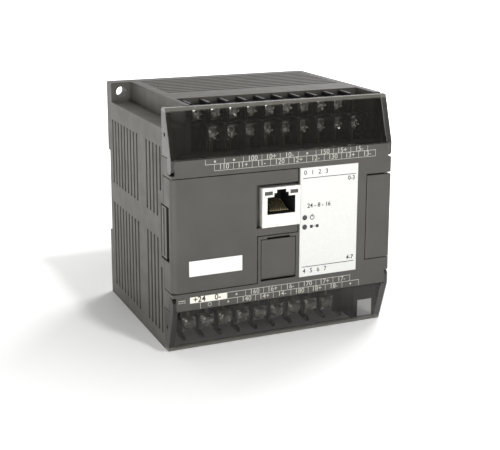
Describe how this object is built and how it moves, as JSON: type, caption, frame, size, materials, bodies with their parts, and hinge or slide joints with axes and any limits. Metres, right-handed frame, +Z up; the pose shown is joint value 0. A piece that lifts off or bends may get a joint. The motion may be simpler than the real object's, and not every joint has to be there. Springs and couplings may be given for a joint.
{
  "type": "programmable controller module",
  "caption": "Rail-mounted controller module: ribbed box with hinged smoked terminal covers, screw terminals, network socket, hinged service door and removable covers.",
  "frame": {"origin": "centre of the rail seat at the back of the housing, on its middle line", "axes": "+X to the right seen from the front, +Y back into the rail, +Z up"},
  "size_m": [0.0932, 0.0825, 0.095],
  "materials": {
    "housing_plastic": "fine moulded texture, dark grey",
    "face_plastic": "fine moulded texture, dark grey",
    "smoked_plastic": "smoked clear plastic",
    "label_stock": "printed white film",
    "sticker_film": "plain paper sticker",
    "terminal_plastic": "black glass-filled plastic",
    "plated_steel": "nickel-plated, satin",
    "copper_contact": "tin-plated copper alloy",
    "circuit_board": "green solder mask",
    "connector_plastic": "black moulded plastic",
    "socket_metal": "bright nickel plate",
    "gold_pin": "gold flash",
    "lamp_lens": "unlit lens",
    "jack_lens": "unlit lens",
    "post_brass": "turned, unplated",
    "clip_plastic": "black moulded plastic",
    "spring_steel": "bright wire",
    "port_plastic": "mid grey moulded plastic",
    "core_iron": "laminated, varnished",
    "coil_tape": "yellow wound tape",
    "capacitor_sleeve": "shrink sleeve",
    "chip_plastic": "black moulded epoxy",
    "ferrite": "pressed ferrite"
  },
  "bodies": {
    "housing": {"rear_base": "housing_plastic", "middle_shell": "housing_plastic", "front_frame": "face_plastic", "label_plate": "label_stock", "status_lamps": "lamp_lens", "top_terminal_block": "terminal_plastic", "bottom_terminal_block": "terminal_plastic", "top_rear_screws": "plated_steel", "top_front_screws": "plated_steel", "bottom_rear_screws": "plated_steel", "bottom_front_screws": "plated_steel", "top_clamp_plates": "plated_steel", "bottom_clamp_plates": "plated_steel", "top_contacts": "copper_contact", "bottom_contacts": "copper_contact", "top_terminal_board": "circuit_board", "bottom_terminal_board": "circuit_board", "top_board_link": "connector_plastic", "bottom_board_link": "connector_plastic", "main_board": "circuit_board", "front_board": "circuit_board", "power_board": "circuit_board", "rear_posts": "post_brass", "front_posts": "post_brass", "board_nuts": "plated_steel", "stack_header": "connector_plastic", "power_header": "connector_plastic", "jack_case": "socket_metal", "jack_insert": "connector_plastic", "jack_contacts": "gold_pin", "jack_lamps": "jack_lens", "door_pin": "plated_steel", "service_shell": "socket_metal", "service_insert": "connector_plastic", "service_pins": "gold_pin", "right_header": "connector_plastic", "right_header_pins": "gold_pin", "left_socket": "connector_plastic", "left_socket_tails": "copper_contact", "clip_spring": "spring_steel", "housing_screws": "plated_steel", "transformer_core": "core_iron", "transformer_coil": "coil_tape", "capacitors": "capacitor_sleeve", "isolators": "connector_plastic", "processor": "chip_plastic", "converter_chips": "chip_plastic", "choke": "ferrite"},
    "face_cover": {"face_cover": "face_plastic", "blank_sticker": "sticker_film"},
    "top_cover": {"top_cover": "smoked_plastic"},
    "bottom_cover": {"bottom_cover": "smoked_plastic"},
    "service_door": {"service_door": "face_plastic"},
    "right_port_cover": {"right_port_cover": "face_plastic"},
    "left_port_cover": {"left_port_cover": "port_plastic"},
    "rail_clip": {"rail_clip": "clip_plastic"}
  },
  "joints": [
    {"name": "top_cover_hinge", "type": "hinge", "parent": "housing", "child": "top_cover", "pos_m": [0, -0.0775, 0.0252], "axis": [1, 0, 0], "range_deg": [0, 90]},
    {"name": "bottom_cover_hinge", "type": "hinge", "parent": "housing", "child": "bottom_cover", "pos_m": [0, -0.0775, -0.0265], "axis": [-1, 0, 0], "range_deg": [0, 90]},
    {"name": "service_door_hinge", "type": "hinge", "parent": "housing", "child": "service_door", "pos_m": [-0.0029, -0.0781, -0.0205], "axis": [1, 0, 0], "range_deg": [0, 90]},
    {"name": "rail_clip_slide", "type": "slide", "parent": "housing", "child": "rail_clip", "axis": [0, 0, -1], "range_m": [0, 0.005], "stiffness_N_per_m": 300, "springref_m": -0.004, "deforming": ["clip_spring"]},
    {"name": "face_cover_pull", "type": "slide", "parent": "housing", "child": "face_cover", "axis": [0, -1, 0], "range_m": [0, 0.012]},
    {"name": "right_port_cover_pull", "type": "slide", "parent": "housing", "child": "right_port_cover", "axis": [1, 0, 0], "range_m": [0, 0.014]},
    {"name": "left_port_cover_pull", "type": "slide", "parent": "housing", "child": "left_port_cover", "axis": [-1, 0, 0], "range_m": [0, 0.009]}
  ]
}
